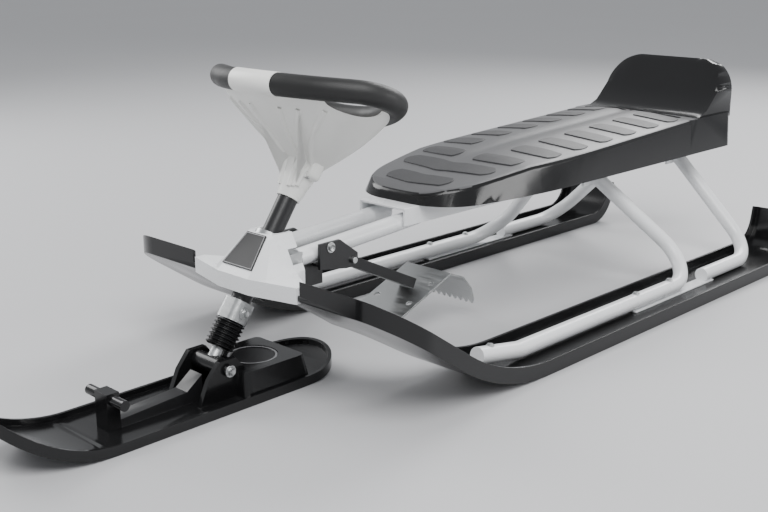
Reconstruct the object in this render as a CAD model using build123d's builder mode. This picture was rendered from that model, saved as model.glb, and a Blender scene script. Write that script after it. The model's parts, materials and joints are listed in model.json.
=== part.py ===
"""Steerable snow sled: front ski, steering wheel, tube frame on two moulded runners, long seat, brake.

Frame: +Z up, the sled points to -Y, its left side is +X, the ground is z = 0.
"""

import math
import os

from build123d import *

os.makedirs("parts", exist_ok=True)

# Runners: open moulded troughs, their noses swept up to the front bow
runner_half_spread = 198.0
runner_width = 104.0
runner_wall_height = 20.0
runner_wall = 4.0
runner_floor = 6.0
runner_rear_y = 682.5
tail_radius = 62.0
tail_angle = 78.0
tail_rise = 22.0
lift_y = -68.0
lift_radius = 300.0
lift_angle = 34.0
nose_front_y = -346.0
nose_corner_radius = 62.0
nose_inner_x = 62.0
nose_arm_rear_y = -262.0
nose_inner_radius = 60.0

# Frame tubes
tube_d = 22.0
tube_gap = 0.3
main_tube_half_spread = 27.0
main_tube_front_y = -286.0
main_tube_front_z = 151.0
main_tube_rear_y = -74.0
main_tube_rear_z = 165.5
leg_bend_radius = 55.0
front_leg_corner_y = 392.0
rear_leg_corner_y = 566.0
front_leg_lean = 74.0
leg_top_half_spread = 48.0
leg_top_z = 164.0
leg_plate_length = 56.0
leg_plate_height = 24.0
leg_plate_wall = 4.0
front_toe_y = -150.0
rear_toe_y = 196.0
rear_foot_round_y = 398.0
strap_wall = 2.2
strap_width = 20.0

# Rail under the seat
rail_height = 24.0
rail_wall = 3.0
rail_half_width = main_tube_half_spread + tube_d / 2 + tube_gap + rail_wall
rail_front_y = -112.0
rail_rear_y = 606.0
rail_top_z = 184.0

# Seat
seat_front_y = -86.0
seat_rear_y = 628.0
seat_edge_z = rail_top_z
seat_top_front_z = 205.0
seat_top_rear_z = 240.0
seat_half_width = 116.0
seat_crown_half_width = 111.0
seat_crown_z = 262.0
seat_side_radius = 900.0
seat_foot_turn = 12.0
seat_crown_turn = 17.0
seat_nose_radius = 72.0
seat_nose_slope = 14.0
backrest_half_width = 107.0
seat_wall = 4.0
seat_rib_ys = (-40.0, 90.0, 220.0, 350.0, 480.0, 590.0)
backrest_foot_y = 500.0
backrest_top_z = 326.0

# Steering axis: leans back, and meets the ground at column_foot_y
column_foot_y = -427.0
column_tilt = 35.0
column_d = 25.0
column_gap = 0.05
column_top_z = 240.0
column_low_z = 90.0
sleeve_d = 38.0
sleeve_low_z = 142.0
sleeve_high_z = 178.0

# Head shell and bow
bow_half_width = 94.0
bow_end_depth = 14.0
bow_front_y = -362.7
bow_rear_y = -304.0
bow_low_z = 121.4
bow_high_z = 141.0
cap_half_width = 46.0
badge_margin = 11.0
head_top_z = 184.0
head_wall = 3.0
badge_top_y = -321.5
badge_half_low = 28.0
badge_half_high = 18.0

# Steering wheel
wheel_y = -246.5
wheel_z = 335.0
wheel_tilt = 20.5
wheel_half_width = 123.0
wheel_half_length = 78.0
wheel_front_radius = 182.0
wheel_front_arc = 40.0
wheel_dish = 14.0
grip_d = 27.0
hub_neck_z = 218.0
hub_neck_d = 29.0
hub_neck_top_z = 256.0
hub_neck_top_d = 46.0
hub_wall = 3.5
hub_rim_gap = 0.5
bowl_mid_half_width = 74.0
bowl_mid_half_length = 50.0
bowl_mid_depth = 44.0
bowl_mid_shift = 20.0
bowl_flange = 5.0
window_offset = -22.0
window_depth = 16.0
window_half_length = 30.0
window_half_height = 11.0

# Strut
fork_width = 34.0
fork_depth = 30.0
fork_high_z = 106.0
fork_low_z = 85.0
fork_corner = 10.0
bellows_d = 38.0
bellows_high_z = 85.0
bellows_low_z = 57.0
bellows_folds = 7
bellows_fold_depth = 4.0
strut_rod_d = 16.0
eye_d = 22.0
eye_half_width = 24.0

# Ski
ski_tip_y = -682.5
ski_tail_y = -228.0
ski_half_width = 60.0
ski_thickness = 5.0
ski_rim_height = 12.0
ski_lift_y = -560.0
ski_lift_radius = 175.0
ski_tail_lift_y = -312.0
ski_tail_radius = 280.0
ski_tail_angle = 25.0

# Ski pivot
pin_z = 40.0
pin_d = 10.0
tower_half_gap = 25.0
tower_wall = 7.0
tail_box_front_y = -384.0
tail_box_rear_y = -292.0
tail_box_half_width = 45.0
tail_box_flare = 8.0
tail_box_top_z = 35.0
recess_y = -337.0
recess_d = 62.0
recess_depth = 2.0
spine_half_width = 11.0

# Tow bracket
tow_y = -540.0
tow_z = 40.0
tow_bar_d = 12.0
tow_bar_length = 70.0
tow_post_width = 24.0
tow_post_depth = 16.0

# Brake
brake_pin_y = -208.0
brake_pin_z = 136.0
brake_pin_d = 8.0
brake_eye_d = 15.0
brake_plate_y = -246.0
brake_plate_z = 140.0
brake_ear_inner = main_tube_half_spread + tube_d / 2 + 1.5
brake_ear_wall = 4.0
brake_ear_top_z = 166.0
housing_front_y = -282.0
housing_rear_y = -247.0
housing_half_width = 30.0
housing_low_z = 112.0
brake_arm_half_width = 14.0
arm_wall = 3.0
arm_depth = 14.0
arm_end_y = -60.0
arm_end_z = 66.0
arm_pockets = 5
blade_half_width = 41.5
blade_rear_y = -17.0
blade_rear_z = 77.0
blade_front_y = -119.0
blade_front_z = 37.0
blade_thickness = 3.0
lip_run = 55.0
lip_drop = 57.0
tooth_count = 8
tooth_depth = 9.0

tilt = math.radians(column_tilt)


def axis_y(z):
    """The y of the steering axis at height z."""
    return column_foot_y + z * math.tan(tilt)


def axis_plane(z):
    """A plane across the steering axis at height z, its normal up the axis."""
    return Plane(origin=(0, axis_y(z), z), x_dir=(1, 0, 0), z_dir=(0, math.sin(tilt), math.cos(tilt)))


def half_plane(z):
    """A plane that holds the steering axis, its y up the axis from height z."""
    return Plane(origin=(0, axis_y(z), z), x_dir=(1, 0, 0), z_dir=(0, -math.cos(tilt), math.sin(tilt)))


def along_axis(low_z, high_z):
    """The length of the steering axis between two heights."""
    return (high_z - low_z) / math.cos(tilt)


def save(part, name):
    """Label a finished piece and write its file."""
    part.label = name
    export_step(part, f"parts/{name}.step")


def save_both(part, stem):
    """Write a left piece as modelled and its mirror image as the right one."""
    save(part, f"{stem}_left")
    save(mirror(part, about=Plane.YZ), f"{stem}_right")


def side_profile(thickness):
    """The runner's side view: its sole line thickened upwards, tail arc, ground line and swept-up nose."""
    bend = math.radians(tail_angle)
    tail_y = runner_rear_y - tail_radius * math.sin(bend) - tail_rise * math.cos(bend)
    nose_run = 260.0
    with BuildSketch(Plane.YZ) as profile:
        with BuildLine():
            sole = Line((lift_y, 0), (tail_y, 0))
            tail = JernArc(sole @ 1, (1, 0), tail_radius, tail_angle)
            tail_top = Line(tail @ 1, (tail @ 1) + (tail % 1) * tail_rise)
            nose = JernArc(sole @ 0, (-1, 0), lift_radius, -lift_angle)
            nose_top = Line(nose @ 1, (nose @ 1) + (nose % 1) * nose_run)
            upper = Line((lift_y, thickness), (tail_y, thickness))
            upper_tail = JernArc(upper @ 1, (1, 0), tail_radius - thickness, tail_angle)
            upper_tail_top = Line(upper_tail @ 1, (upper_tail @ 1) + (tail % 1) * tail_rise)
            upper_nose = JernArc(upper @ 0, (-1, 0), lift_radius - thickness, -lift_angle)
            upper_nose_top = Line(upper_nose @ 1, (upper_nose @ 1) + (nose % 1) * nose_run)
            Line(tail_top @ 1, upper_tail_top @ 1)
            Line(nose_top @ 1, upper_nose_top @ 1)
        make_face()
    return profile.sketch


def plan_outline():
    """The runner seen from above: straight, with its nose turned in to the bow."""
    inner = runner_half_spread - runner_width / 2
    outer = runner_half_spread + runner_width / 2
    with BuildSketch(Plane.XY) as plan:
        with BuildLine():
            Polyline(
                (inner, runner_rear_y + 10),
                (outer, runner_rear_y + 10),
                (outer, nose_front_y),
                (nose_inner_x, nose_front_y),
                (nose_inner_x, nose_arm_rear_y),
                (inner, nose_arm_rear_y),
                close=True,
            )
        make_face()
        corner = plan.vertices().sort_by(Axis.X)[-2:].sort_by(Axis.Y)[0]
        fillet(corner, nose_corner_radius)
        crook = plan.vertices().filter_by(lambda v: abs(v.X - inner) < 0.1).sort_by(Axis.Y)[0]
        fillet(crook, nose_inner_radius)
    return plan.sketch


# Runner
plan = plan_outline()
sole_side = side_profile(runner_floor)
wall_side = side_profile(runner_wall_height)
hollow = offset(plan, -runner_wall)
reach = runner_half_spread + runner_width
with BuildPart() as runner_sole:
    extrude(sole_side, amount=reach, dir=(1, 0, 0))
    extrude(plan, amount=reach, mode=Mode.INTERSECT)
with BuildPart() as runner:
    extrude(wall_side, amount=reach, dir=(1, 0, 0))
    extrude(plan, amount=reach, mode=Mode.INTERSECT)
    extrude(hollow, amount=reach, mode=Mode.SUBTRACT)
    with Locations((0, nose_front_y, 0)):
        Box(2 * bow_half_width + 8, 240, reach, align=(Align.CENTER, Align.CENTER, Align.MIN), mode=Mode.SUBTRACT)
    add(runner_sole.part)
    with Locations((0, nose_front_y, bow_low_z - tube_gap)):
        Box(2 * bow_half_width + 2, 240, reach, align=(Align.CENTER, Align.CENTER, Align.MIN), mode=Mode.SUBTRACT)
save_both(runner.part, "runner")

# Hoop legs: tubes that lie in the runners and bend up to the seat rail
rear_foot_z = runner_floor + tube_d / 2 + tube_gap
foot_z = rear_foot_z + strap_wall
toe_lift = (lift_y - front_toe_y) ** 2 / (2 * lift_radius) + 3.0


def leg_plate(y):
    """The flat flange on a leg's top, against the rail's side."""
    with Locations((rail_half_width + tube_gap, y, leg_top_z)):
        Box(
            leg_plate_wall,
            leg_plate_length,
            leg_plate_height,
            align=(Align.MIN, Align.CENTER, Align.CENTER),
        )
    with Locations((rail_half_width + tube_gap, y, leg_top_z)):
        Box(4 * tube_d, 6 * tube_d, 4 * tube_d, align=(Align.MAX, Align.CENTER, Align.CENTER), mode=Mode.SUBTRACT)


with BuildPart() as front_leg:
    with BuildLine() as path:
        FilletPolyline(
            (runner_half_spread, front_toe_y, foot_z + toe_lift),
            (runner_half_spread, lift_y, foot_z),
            (runner_half_spread, front_leg_corner_y, foot_z),
            (leg_top_half_spread, front_leg_corner_y - front_leg_lean, leg_top_z),
            radius=leg_bend_radius,
        )
    with BuildSketch(Plane(origin=path.line @ 0, z_dir=path.line % 0)):
        Circle(tube_d / 2)
    sweep()
    leg_plate(front_leg_corner_y - front_leg_lean)
save_both(front_leg.part, "front_leg")

with BuildPart() as rear_leg:
    with BuildLine() as path:
        FilletPolyline(
            (runner_half_spread, rear_foot_round_y, rear_foot_z),
            (runner_half_spread, rear_leg_corner_y, rear_foot_z),
            (leg_top_half_spread, rear_leg_corner_y, leg_top_z),
            radius=leg_bend_radius,
        )
    with BuildSketch(Plane(origin=path.line @ 0, z_dir=path.line % 0)):
        Circle(tube_d / 2)
    sweep()
    strap_length = rear_foot_round_y + tube_d - rear_toe_y
    with Locations((runner_half_spread, rear_toe_y, runner_floor + tube_gap / 2)):
        Box(strap_width, strap_length, strap_wall, align=(Align.CENTER, Align.MIN, Align.MIN))
    leg_plate(rear_leg_corner_y)
save_both(rear_leg.part, "rear_leg")

# Main tubes from the head to the seat front
with BuildPart() as main_tube:
    start = Vector(main_tube_half_spread, main_tube_front_y, main_tube_front_z)
    end = Vector(main_tube_half_spread, main_tube_rear_y, main_tube_rear_z)
    with BuildLine():
        Line(start, end)
    with BuildSketch(Plane(origin=start, z_dir=end - start)):
        Circle(tube_d / 2)
    sweep()
save_both(main_tube.part, "main_tube")

# Seat rail: a folded channel, open below
rail_length = rail_rear_y - rail_front_y
with BuildPart() as seat_rail:
    with BuildSketch(Plane.XZ.offset(-rail_rear_y)):
        with Locations((0, rail_top_z)):
            Rectangle(2 * rail_half_width, rail_height, align=(Align.CENTER, Align.MAX))
        with Locations((0, rail_top_z - rail_wall)):
            inside = 2 * (rail_half_width - rail_wall)
            Rectangle(inside, rail_height, align=(Align.CENTER, Align.MAX), mode=Mode.SUBTRACT)
    extrude(amount=rail_length)
save(seat_rail.part, "seat_rail")

# Seat shell
seat_length = seat_rear_y - seat_front_y


def seat_plan(z, half_width, front_y, turn, inset):
    """A level of the seat's outline seen from above: long curved sides and a round nose, inset all round."""
    angle = math.radians(turn)
    side_radius = seat_side_radius - inset
    nose_radius = seat_nose_radius - inset
    turn_y = front_y + inset + nose_radius * (1 - math.sin(angle)) + side_radius * math.sin(angle)
    with BuildSketch(Plane.XY.offset(z)) as outline:
        with BuildLine():
            side = Line((half_width - inset, seat_rear_y - inset), (half_width - inset, turn_y))
            waist = JernArc(side @ 1, (0, -1), side_radius, -turn)
            nose = JernArc(waist @ 1, waist % 1, nose_radius, turn - 90)
            Line(nose @ 1, (0, (nose @ 1).Y))
            Line(side @ 0, (0, seat_rear_y - inset))
            mirror(about=Plane.YZ)
        make_face()
        fillet(outline.vertices().sort_by(Axis.Y)[-3:].sort_by(Axis.X)[0], 20 - inset)
        fillet(outline.vertices().sort_by(Axis.X)[-4:].sort_by(Axis.Y)[-1], 20 - inset)
    return outline.sketch


def seat_levels(inset):
    """The foot and the crown of the seat's tapering side walls."""
    foot = seat_plan(seat_edge_z, seat_half_width, seat_front_y, seat_foot_turn, inset)
    crown_front = seat_front_y + seat_nose_slope
    crown = seat_plan(seat_crown_z, seat_crown_half_width, crown_front, seat_crown_turn, inset)
    return [foot, crown]


def seat_side(drop):
    """The seat's top line seen from the side, lowered by drop, over a flat lower edge."""
    with BuildSketch(Plane.YZ) as side:
        with BuildLine():
            Polyline(
                (seat_front_y, seat_edge_z),
                (seat_front_y, seat_edge_z + 13 - drop),
                (seat_front_y + 24, seat_top_front_z - drop),
                (seat_front_y + 160, seat_top_front_z + 16 - drop),
                (backrest_foot_y, seat_top_rear_z - drop),
                (seat_rear_y, seat_top_rear_z - drop),
                (seat_rear_y, seat_edge_z),
                close=True,
            )
        make_face()
    return side.sketch


def backrest_side(inset):
    """The backrest's wedge seen from the side, inset all round but at its foot."""
    with BuildSketch(Plane.YZ) as side:
        with BuildLine():
            Polyline(
                (backrest_foot_y + 2.4 * inset, seat_top_rear_z - 8),
                (backrest_foot_y + 46 + 1.6 * inset, seat_top_rear_z + 8 - inset / 2),
                (backrest_foot_y + 78 + 1.3 * inset, seat_top_rear_z + 36 - inset / 2),
                (seat_rear_y - 27 + inset, backrest_top_z - 8 - inset),
                (seat_rear_y - 18, backrest_top_z - inset),
                (seat_rear_y - 8 - inset, backrest_top_z - 2 - inset),
                (seat_rear_y - inset, backrest_top_z - 12 - inset),
                (seat_rear_y - inset, seat_top_rear_z - 8),
                close=True,
            )
        make_face()
    return side.sketch


def backrest_front(inset):
    """The backrest seen from the front, its top corners rounded."""
    with BuildSketch(Plane.XZ) as front:
        with Locations((0, seat_edge_z)):
            height = backrest_top_z - inset - seat_edge_z
            Rectangle(2 * (backrest_half_width - inset), height, align=(Align.CENTER, Align.MIN))
        fillet(front.vertices().sort_by(Axis.Y)[-2:], 52)
    return front.sketch


outer_levels = seat_levels(0)
inner_levels = seat_levels(seat_wall)
outer_side = seat_side(0)
inner_side = seat_side(seat_wall)
back_outer_side = backrest_side(0)
back_inner_side = backrest_side(seat_wall)
back_outer_front = backrest_front(0)
back_inner_front = backrest_front(seat_wall)
half = seat_half_width + 10
with BuildPart() as seat_hollow:
    loft(inner_levels, ruled=True)
    extrude(inner_side, amount=half, both=True, mode=Mode.INTERSECT)
with BuildPart() as back_hollow:
    extrude(back_inner_side, amount=half, both=True)
    extrude(back_inner_front, amount=seat_length, both=True, mode=Mode.INTERSECT)
with BuildPart() as backrest:
    extrude(back_outer_side, amount=half, both=True)
    extrude(back_outer_front, amount=seat_length, both=True, mode=Mode.INTERSECT)
with BuildPart() as seat_body:
    loft(outer_levels, ruled=True)
    extrude(outer_side, amount=half, both=True, mode=Mode.INTERSECT)
with BuildPart() as seat_ribs:
    for rib_y in seat_rib_ys:
        with Locations((0, rib_y, seat_edge_z)):
            Box(2 * half, seat_wall, 100, align=(Align.CENTER, Align.CENTER, Align.MIN))
    add(seat_body.part, mode=Mode.INTERSECT)
with BuildPart() as seat_shell:
    add(seat_body.part)
    add(backrest.part)
    add(seat_hollow.part, mode=Mode.SUBTRACT)
    add(back_hollow.part, mode=Mode.SUBTRACT)
    add(seat_ribs.part)
save(seat_shell.part, "seat_shell")

# Head shell: the white bow and the pyramid over the steering head
head_tail_y = main_tube_front_y - 4


def head_section(z, front_half, side_half, front_y, side_y, tail_half, tail_y):
    """One level of the head shell, drawn in plan."""
    with BuildSketch(Plane.XY.offset(z)) as section:
        with BuildLine():
            Polyline(
                (side_half, side_y),
                (tail_half, tail_y),
                (-tail_half, tail_y),
                (-side_half, side_y),
                (-front_half, front_y),
                (front_half, front_y),
                close=True,
            )
        make_face()
    return section.sketch


def bow_section(z, inset):
    """One level of the bow, its arms tapering to their ends."""
    front_y = bow_front_y + inset
    with BuildSketch(Plane.XY.offset(z)) as section:
        with BuildLine():
            Polyline(
                (0, front_y),
                (badge_half_low, front_y),
                (bow_half_width - inset, front_y + 16),
                (bow_half_width - inset, front_y + 16 + bow_end_depth - 2 * inset),
                (cap_half_width - inset, bow_rear_y - inset),
                (0, bow_rear_y - inset),
            )
            mirror(about=Plane.YZ)
        make_face()
    return section.sketch


def head_solid(inset, low_z):
    """The bow and the cap of the head shell, or their hollow when inset."""
    cap_half = cap_half_width - inset
    front_y = bow_front_y + inset
    tail_y = head_tail_y - inset
    cap = [
        head_section(z, badge_half_low, cap_half, front_y, front_y + 12, cap_half, tail_y)
        for z in (low_z, bow_high_z - inset)
    ]
    top = head_section(
        head_top_z - inset,
        badge_half_high,
        badge_half_high + 4,
        badge_top_y + inset,
        badge_top_y + inset + 4,
        badge_half_high + 6 - inset,
        tail_y,
    )
    return [bow_section(low_z, inset), bow_section(bow_high_z - inset, inset)], cap, [cap[1], top]


outer_forms = head_solid(0, bow_low_z)
inner_forms = head_solid(head_wall, bow_low_z - 10)
with BuildPart() as head_shell:
    for levels in outer_forms:
        loft(levels, ruled=True)
    for levels in inner_forms:
        loft(levels, ruled=True, mode=Mode.SUBTRACT)
    with Locations((0, head_tail_y, bow_low_z - 1)):
        Box(84, 30, 46, align=(Align.CENTER, Align.CENTER, Align.MIN), mode=Mode.SUBTRACT)
    with BuildSketch(axis_plane(head_top_z)):
        Circle(sleeve_d / 2 + tube_gap)
    extrude(amount=80, both=True, mode=Mode.SUBTRACT)
save(head_shell.part, "head_shell")

# Badge plate on the head's front slope, left bare
slope_rise = head_top_z - bow_high_z
slope_run = badge_top_y - bow_front_y
slope_length = math.hypot(slope_rise, slope_run)
slope_plane = Plane(
    origin=(0, (bow_front_y + badge_top_y) / 2, (bow_high_z + head_top_z) / 2),
    x_dir=(1, 0, 0),
    z_dir=(0, -slope_rise / slope_length, slope_run / slope_length),
)
with BuildPart() as badge_plate:
    with BuildSketch(slope_plane):
        with BuildLine():
            Polyline(
                (badge_half_low - 1, -slope_length / 2 + badge_margin),
                (badge_half_high - 1, slope_length / 2 - 2),
                (1 - badge_half_high, slope_length / 2 - 2),
                (1 - badge_half_low, -slope_length / 2 + badge_margin),
                close=True,
            )
        make_face()
    extrude(amount=2)
save(badge_plate.part, "badge_plate")

# Sleeve that the column turns in, on a block that takes the main tubes
with BuildPart() as head_sleeve:
    with BuildSketch(axis_plane(sleeve_low_z)):
        Circle(sleeve_d / 2)
    extrude(amount=along_axis(sleeve_low_z, sleeve_high_z))
    block_back = main_tube_front_y + 1
    with Locations((0, block_back, main_tube_front_z)):
        Box(74, 20, 18, align=(Align.CENTER, Align.MAX, Align.CENTER))
    for side in (-1, 1):
        with BuildSketch(Plane(origin=(side * main_tube_half_spread, start.Y, start.Z), z_dir=end - start)):
            Circle(tube_d / 2 + tube_gap)
        extrude(amount=40, mode=Mode.SUBTRACT)
    with BuildSketch(axis_plane(sleeve_low_z)):
        Circle(column_d / 2 + column_gap)
    extrude(amount=100, both=True, mode=Mode.SUBTRACT)
save(head_sleeve.part, "head_sleeve")

# Steering column
with BuildPart() as column_tube:
    with BuildSketch(axis_plane(column_low_z)):
        Circle(column_d / 2)
        Circle(column_d / 2 - 2.5, mode=Mode.SUBTRACT)
    extrude(amount=along_axis(column_low_z, column_top_z))
save(column_tube.part, "column_tube")

# Steering wheel: an oval rim, its sides lifted towards the rider
wheel_plane = Plane(
    origin=(0, wheel_y, wheel_z),
    x_dir=(1, 0, 0),
    z_dir=(0, math.sin(math.radians(wheel_tilt)), math.cos(math.radians(wheel_tilt))),
)


def front_rim_point(turn):
    """A point of the rim's front arc in the wheel's own frame, turn degrees round from its front."""
    angle = math.radians(turn)
    drop = wheel_front_radius * (1 - math.cos(angle))
    return Vector(
        wheel_front_radius * math.sin(angle),
        drop * math.cos(dish) - wheel_half_length,
        drop * math.sin(dish),
    )


def rear(point):
    """The same place on the rim's rear half."""
    return Vector(point.X, -point.Y, point.Z)


dish = math.radians(wheel_dish)
arc = math.radians(wheel_front_arc)
rim_front = front_rim_point(0)
rim_front_mid = front_rim_point(wheel_front_arc / 2)
rim_join = front_rim_point(wheel_front_arc)
outward = math.hypot(math.cos(arc), math.sin(arc) * math.sin(dish))
bulge = -rim_join.Y / outward * (1 - math.sin(arc) * math.cos(dish)) / outward
rim_side = Vector(
    rim_join.X + bulge * math.cos(arc),
    0,
    rim_join.Z + bulge * math.sin(arc) * math.sin(dish),
)
to_world = wheel_plane.from_local_coords


def side_view(point):
    """The y and z of a point given in the wheel's own frame."""
    placed = to_world(point)
    return (placed.Y, placed.Z)


def rim_ring(radius):
    """A ring of the given section radius along the rim's line."""
    with BuildPart() as ring:
        with BuildLine():
            ThreePointArc(to_world(rim_front), to_world(rim_front_mid), to_world(rim_join))
            ThreePointArc(to_world(rim_join), to_world(rim_side), to_world(rear(rim_join)))
            ThreePointArc(to_world(rear(rim_join)), to_world(rear(rim_front_mid)), to_world(rear(rim_front)))
        with BuildSketch(Plane.YZ):
            with Locations((to_world(rim_front).Y, to_world(rim_front).Z)):
                Circle(radius)
        sweep()
        mirror(about=Plane.YZ)
    return ring.part


wheel_rim = rim_ring(grip_d / 2)
rim_room = rim_ring(grip_d / 2 + hub_rim_gap)
save(wheel_rim, "wheel_rim")


def hub_oval(half_width, half_length, level, shift):
    """A level of the hub's bowl, parallel to the wheel's plane and shifted towards the rider."""
    with BuildSketch(wheel_plane.offset(level)) as oval:
        with Locations((0, shift)):
            Ellipse(half_width, half_length)
    return oval.sketch


def hub_disc(z, diameter):
    """A round level of the hub's neck, across the steering axis."""
    with BuildSketch(axis_plane(z)) as disc:
        Circle(diameter / 2)
    return disc.sketch


def hub_bowl(inset):
    """The bowl's form from the neck up past the rim, thinned by inset."""
    low = hub_disc(hub_neck_top_z + inset, hub_neck_top_d - 2 * inset)
    middle = hub_oval(bowl_mid_half_width - inset, bowl_mid_half_length - inset, -bowl_mid_depth, bowl_mid_shift)
    high = hub_oval(bowl_half_width - inset, bowl_half_length - inset, 0, 0)
    return [low, middle, high]


bowl_half_width = wheel_half_width + bowl_flange
bowl_half_length = wheel_half_length + bowl_flange
with BuildPart() as bowl_top:
    with BuildSketch(Plane.YZ):
        with BuildLine():
            rim_line = ThreePointArc(
                side_view(rim_front),
                side_view(Vector(0, 0, rim_side.Z)),
                side_view(rear(rim_front)),
            )
            far = wheel_plane.z_dir * 120
            Polyline(rim_line @ 1, rim_line @ 1 + Vector(far.Y, far.Z), rim_line @ 0 + Vector(far.Y, far.Z), rim_line @ 0)
        make_face()
    extrude(amount=wheel_half_width + 20, both=True)
with BuildPart() as wheel_hub:
    loft([hub_disc(hub_neck_z, hub_neck_d), hub_disc(hub_neck_top_z, hub_neck_top_d)], ruled=True)
    loft(hub_bowl(0))
    loft(hub_bowl(hub_wall), mode=Mode.SUBTRACT)
    add(bowl_top.part, mode=Mode.SUBTRACT)
    add(rim_room, mode=Mode.SUBTRACT)
    with BuildSketch(axis_plane(hub_neck_z)):
        Circle(column_d / 2)
    extrude(amount=along_axis(hub_neck_z, column_top_z) + 0.1, both=True, mode=Mode.SUBTRACT)
    with BuildSketch(Plane.YZ):
        with Locations(side_view(Vector(0, window_offset, rim_side.Z - window_depth))):
            Ellipse(window_half_length, window_half_height, rotation=-wheel_tilt)
    extrude(amount=wheel_half_width + 20, both=True, mode=Mode.SUBTRACT)
save(wheel_hub.part, "wheel_hub")

# Fork bracket under the sleeve, with its cross bolt
with BuildPart() as fork_bracket:
    with BuildSketch(axis_plane(fork_low_z)):
        RectangleRounded(fork_width, fork_depth, fork_corner)
        Circle(column_d / 2, mode=Mode.SUBTRACT)
    extrude(amount=along_axis(fork_low_z, fork_high_z))
save(fork_bracket.part, "fork_bracket")

# Bellows over the strut
fold_pitch = along_axis(bellows_low_z, bellows_high_z) / bellows_folds
with BuildPart() as bellows:
    with BuildSketch(half_plane(bellows_low_z)):
        with BuildLine():
            profile = [(strut_rod_d / 2 + tube_gap, 0)]
            for fold in range(bellows_folds):
                profile.append((bellows_d / 2 - bellows_fold_depth, fold * fold_pitch))
                profile.append((bellows_d / 2, (fold + 0.5) * fold_pitch))
            profile.append((bellows_d / 2 - bellows_fold_depth, bellows_folds * fold_pitch))
            profile.append((strut_rod_d / 2 + tube_gap, bellows_folds * fold_pitch))
            Polyline(*profile, close=True)
        make_face()
    revolve(axis=Axis((0, axis_y(0), 0), (0, math.sin(tilt), math.cos(tilt))))
save(bellows.part, "strut_bellows")

pin_y = axis_y(pin_z)

# Strut rod with the eye that rocks on the pin
with BuildPart() as strut_rod:
    with BuildSketch(axis_plane(pin_z)):
        Circle(strut_rod_d / 2)
    extrude(amount=along_axis(pin_z, fork_low_z + 8))
    with BuildSketch(Plane.YZ.offset(-eye_half_width)):
        with Locations((pin_y, pin_z)):
            Circle(eye_d / 2)
    extrude(amount=2 * eye_half_width)
    with BuildSketch(Plane.YZ.offset(-eye_half_width)):
        with Locations((pin_y, pin_z)):
            Circle(pin_d / 2 + column_gap)
    extrude(amount=2 * eye_half_width, mode=Mode.SUBTRACT)
save(strut_rod.part, "strut_rod")

# Pin through the tower's ears
with BuildPart() as pivot_pin:
    with BuildSketch(Plane.YZ.offset(-tower_half_gap - tower_wall - 4)):
        with Locations((pin_y, pin_z)):
            Circle(pin_d / 2)
    extrude(amount=2 * (tower_half_gap + tower_wall + 4))
save(pivot_pin.part, "pivot_pin")


def ski_plan(inset):
    """The ski seen from above."""
    half_width = ski_half_width - inset
    with BuildSketch(Plane.XY) as outline:
        with BuildLine():
            rear = ThreePointArc(
                (0, ski_tail_y - inset),
                (half_width * 0.72, ski_tail_y - 18 - inset),
                (half_width, ski_tail_y - 66),
            )
            side = Line(rear @ 1, (half_width, ski_lift_y - 10))
            Spline(side @ 1, (half_width - 13, ski_tip_y + 34), (0, ski_tip_y + inset), tangents=((0, -1), (-1, 0)))
            mirror(about=Plane.YZ)
        make_face()
    return outline.sketch


def ski_side(thickness):
    """The ski's side view: its sole line with the turned-up tip and tail."""
    with BuildSketch(Plane.YZ) as side:
        with BuildLine():
            sole = Line((ski_lift_y, 0), (ski_tail_lift_y, 0))
            tip = JernArc(sole @ 0, (-1, 0), ski_lift_radius, -46)
            tail = JernArc(sole @ 1, (1, 0), ski_tail_radius, ski_tail_angle)
            upper = Line((ski_lift_y, thickness), (ski_tail_lift_y, thickness))
            upper_tip = JernArc(upper @ 0, (-1, 0), ski_lift_radius - thickness, -46)
            upper_tail = JernArc(upper @ 1, (1, 0), ski_tail_radius - thickness, ski_tail_angle)
            Line(tail @ 1, upper_tail @ 1)
            Line(tip @ 1, upper_tip @ 1)
        make_face()
    return side.sketch


def box_level(z, flare):
    """A level of the raised box behind the tower."""
    with BuildSketch(Plane.XY.offset(z)) as level:
        with Locations((0, (tail_box_front_y + tail_box_rear_y) / 2)):
            Rectangle(2 * (tail_box_half_width + flare), tail_box_rear_y - tail_box_front_y + flare)
        fillet(level.vertices(), 8)
    return level.sketch


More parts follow.
